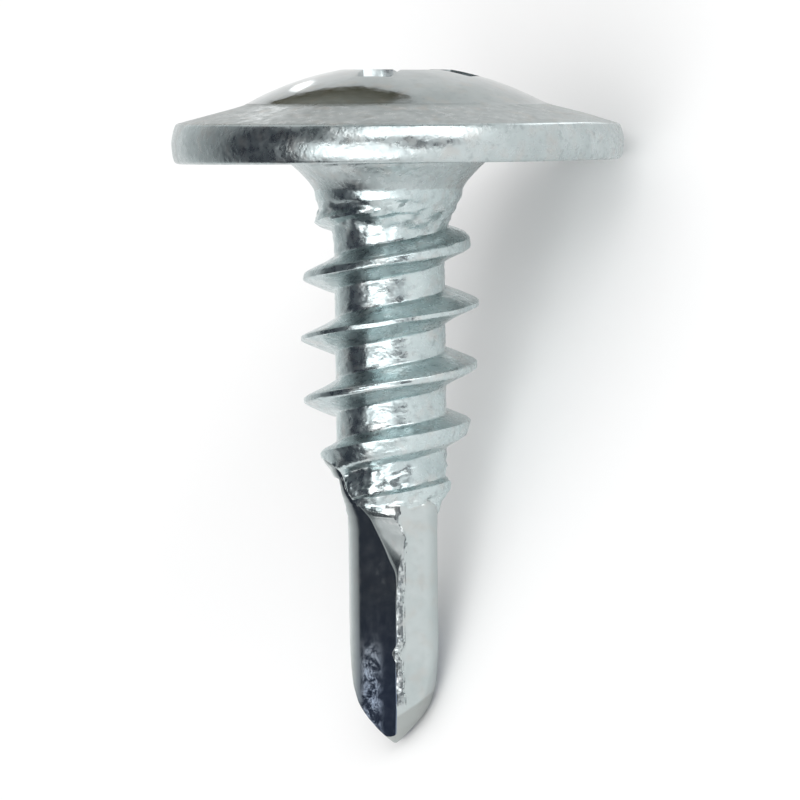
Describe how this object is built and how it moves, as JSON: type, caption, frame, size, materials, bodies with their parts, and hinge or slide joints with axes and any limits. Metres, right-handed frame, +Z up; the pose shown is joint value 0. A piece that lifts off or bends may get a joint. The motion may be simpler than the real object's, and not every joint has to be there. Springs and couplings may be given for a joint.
{
  "type": "self drilling screw",
  "caption": "Self-drilling sheet-metal screw with a wide wafer head, a cross recess, a coarse right-hand tapping thread and a pinched drill point, lying on its side.",
  "frame": {"origin": "centre of the bounding box, on the surface that the screw lies on", "axes": "+Z up; the screw lies in the YZ plane's direction with its head towards +Y and its point towards -Y, its own axis raised 20.8 degrees at the head end, rolled on to the rim and the two edges of one flute"},
  "size_m": [0.0102, 0.015, 0.0098],
  "materials": {
    "zinc_plate": "bright bluish zinc plate over cold-formed steel, pitted and lightly scuffed"
  },
  "bodies": {
    "root": {"screw": "zinc_plate"}
  },
  "joints": []
}
